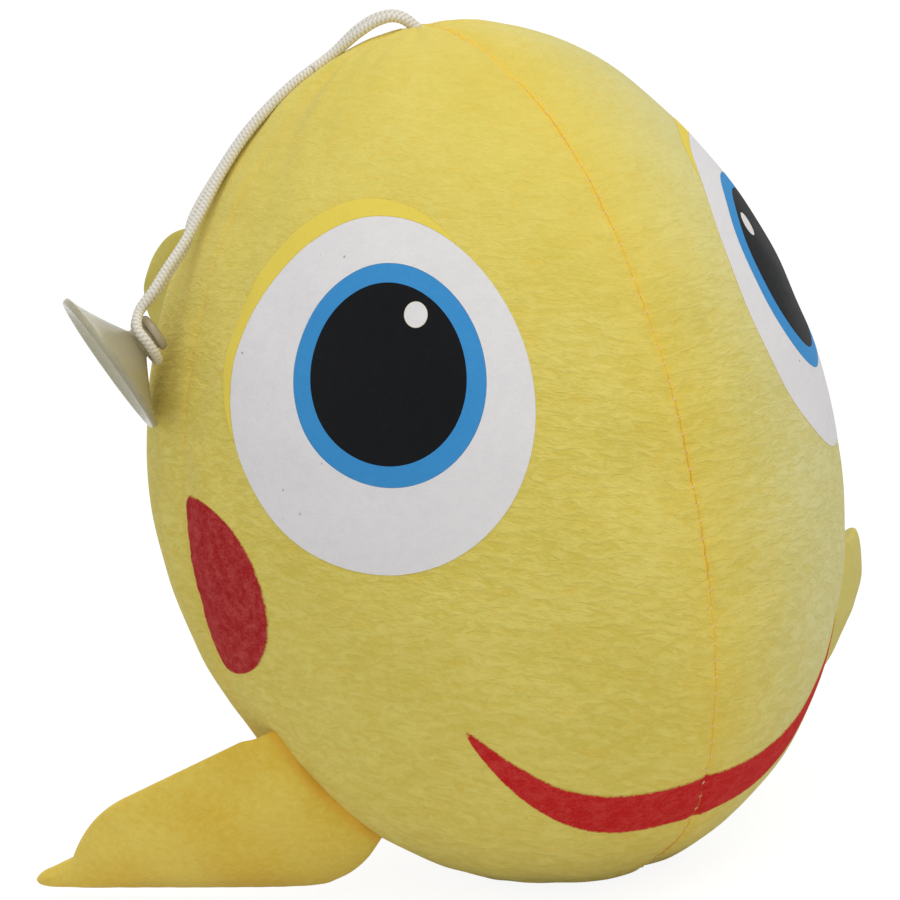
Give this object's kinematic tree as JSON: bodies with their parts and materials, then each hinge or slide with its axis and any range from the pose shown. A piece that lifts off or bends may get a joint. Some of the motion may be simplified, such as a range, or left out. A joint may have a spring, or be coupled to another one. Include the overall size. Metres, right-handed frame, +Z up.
{
  "type": "plush fish toy with suction cup",
  "caption": "Round plush fish with printed eyes and smile, side fins and tail, hung by a cord loop on a clear suction cup.",
  "frame": {"origin": "middle of the flat that the fish sits on, on the table", "axes": "+Z up, the fish looks along -Y, its left side is +X"},
  "size_m": [0.2131, 0.2144, 0.186],
  "materials": {
    "plush": "short-nap yellow plush",
    "fin_cloth": "golden plush",
    "filling": "white fibre filling",
    "print_white": "matt transfer film",
    "print_blue": "matt transfer film",
    "print_black": "matt transfer film",
    "print_yellow": "matt transfer film",
    "print_red": "matt transfer film",
    "cord": "white braided cord",
    "clear_cup": "clear soft vinyl, slightly yellowed"
  },
  "bodies": {
    "plush": {"front_panel_right": "plush", "front_panel_left": "plush", "back_panel_right": "plush", "back_panel_left": "plush", "stuffing": "filling", "cord_knot": "cord", "cord_end_back": "cord", "cord_end_front": "cord", "right_eye_white": "print_white", "right_eye_iris": "print_blue", "right_eye_pupil": "print_black", "right_eye_glint": "print_white", "right_eye_crescent": "print_yellow", "left_eye_white": "print_white", "left_eye_iris": "print_blue", "left_eye_pupil": "print_black", "left_eye_glint": "print_white", "left_eye_crescent": "print_yellow", "right_cheek": "print_red", "right_smile": "print_red", "left_cheek": "print_red", "left_smile": "print_red"},
    "right_fin": {"right_fin_front": "fin_cloth", "right_fin_back": "fin_cloth", "right_fin_wadding": "filling"},
    "left_fin": {"left_fin_front": "fin_cloth", "left_fin_back": "fin_cloth", "left_fin_wadding": "filling"},
    "tail": {"tail_right": "fin_cloth", "tail_left": "fin_cloth", "tail_wadding": "filling"},
    "loop": {"cord_loop": "cord"},
    "cup": {"suction_cup": "clear_cup"}
  },
  "joints": [
    {"name": "right_fin_flap", "type": "hinge", "parent": "plush", "child": "right_fin", "pos_m": [-0.05667, 0.00111, 0.02934], "axis": [0.5476, -0.1226, -0.8277], "range_deg": [0, 20], "stiffness_Nm_per_rad": 0.03},
    {"name": "left_fin_flap", "type": "hinge", "parent": "plush", "child": "left_fin", "pos_m": [0.05667, 0.00111, 0.02934], "axis": [0.5476, 0.1226, 0.8277], "range_deg": [-20, 35], "stiffness_Nm_per_rad": 0.03},
    {"name": "tail_wag", "type": "hinge", "parent": "plush", "child": "tail", "pos_m": [0, 0.0835, 0.1035], "axis": [0, 0, 1], "range_deg": [-35, 20], "stiffness_Nm_per_rad": 0.03},
    {"name": "loop_swing", "type": "hinge", "parent": "plush", "child": "loop", "pos_m": [-0.00086, 0.0175, 0.18245], "axis": [0.5, 0.866, 0], "range_deg": [0, 100]},
    {"name": "cup_swivel", "type": "hinge", "parent": "loop", "child": "cup", "pos_m": [-0.0773, 0.0303, 0.1242], "axis": [0.8861, -0.21, 0.4131], "continuous": true}
  ]
}
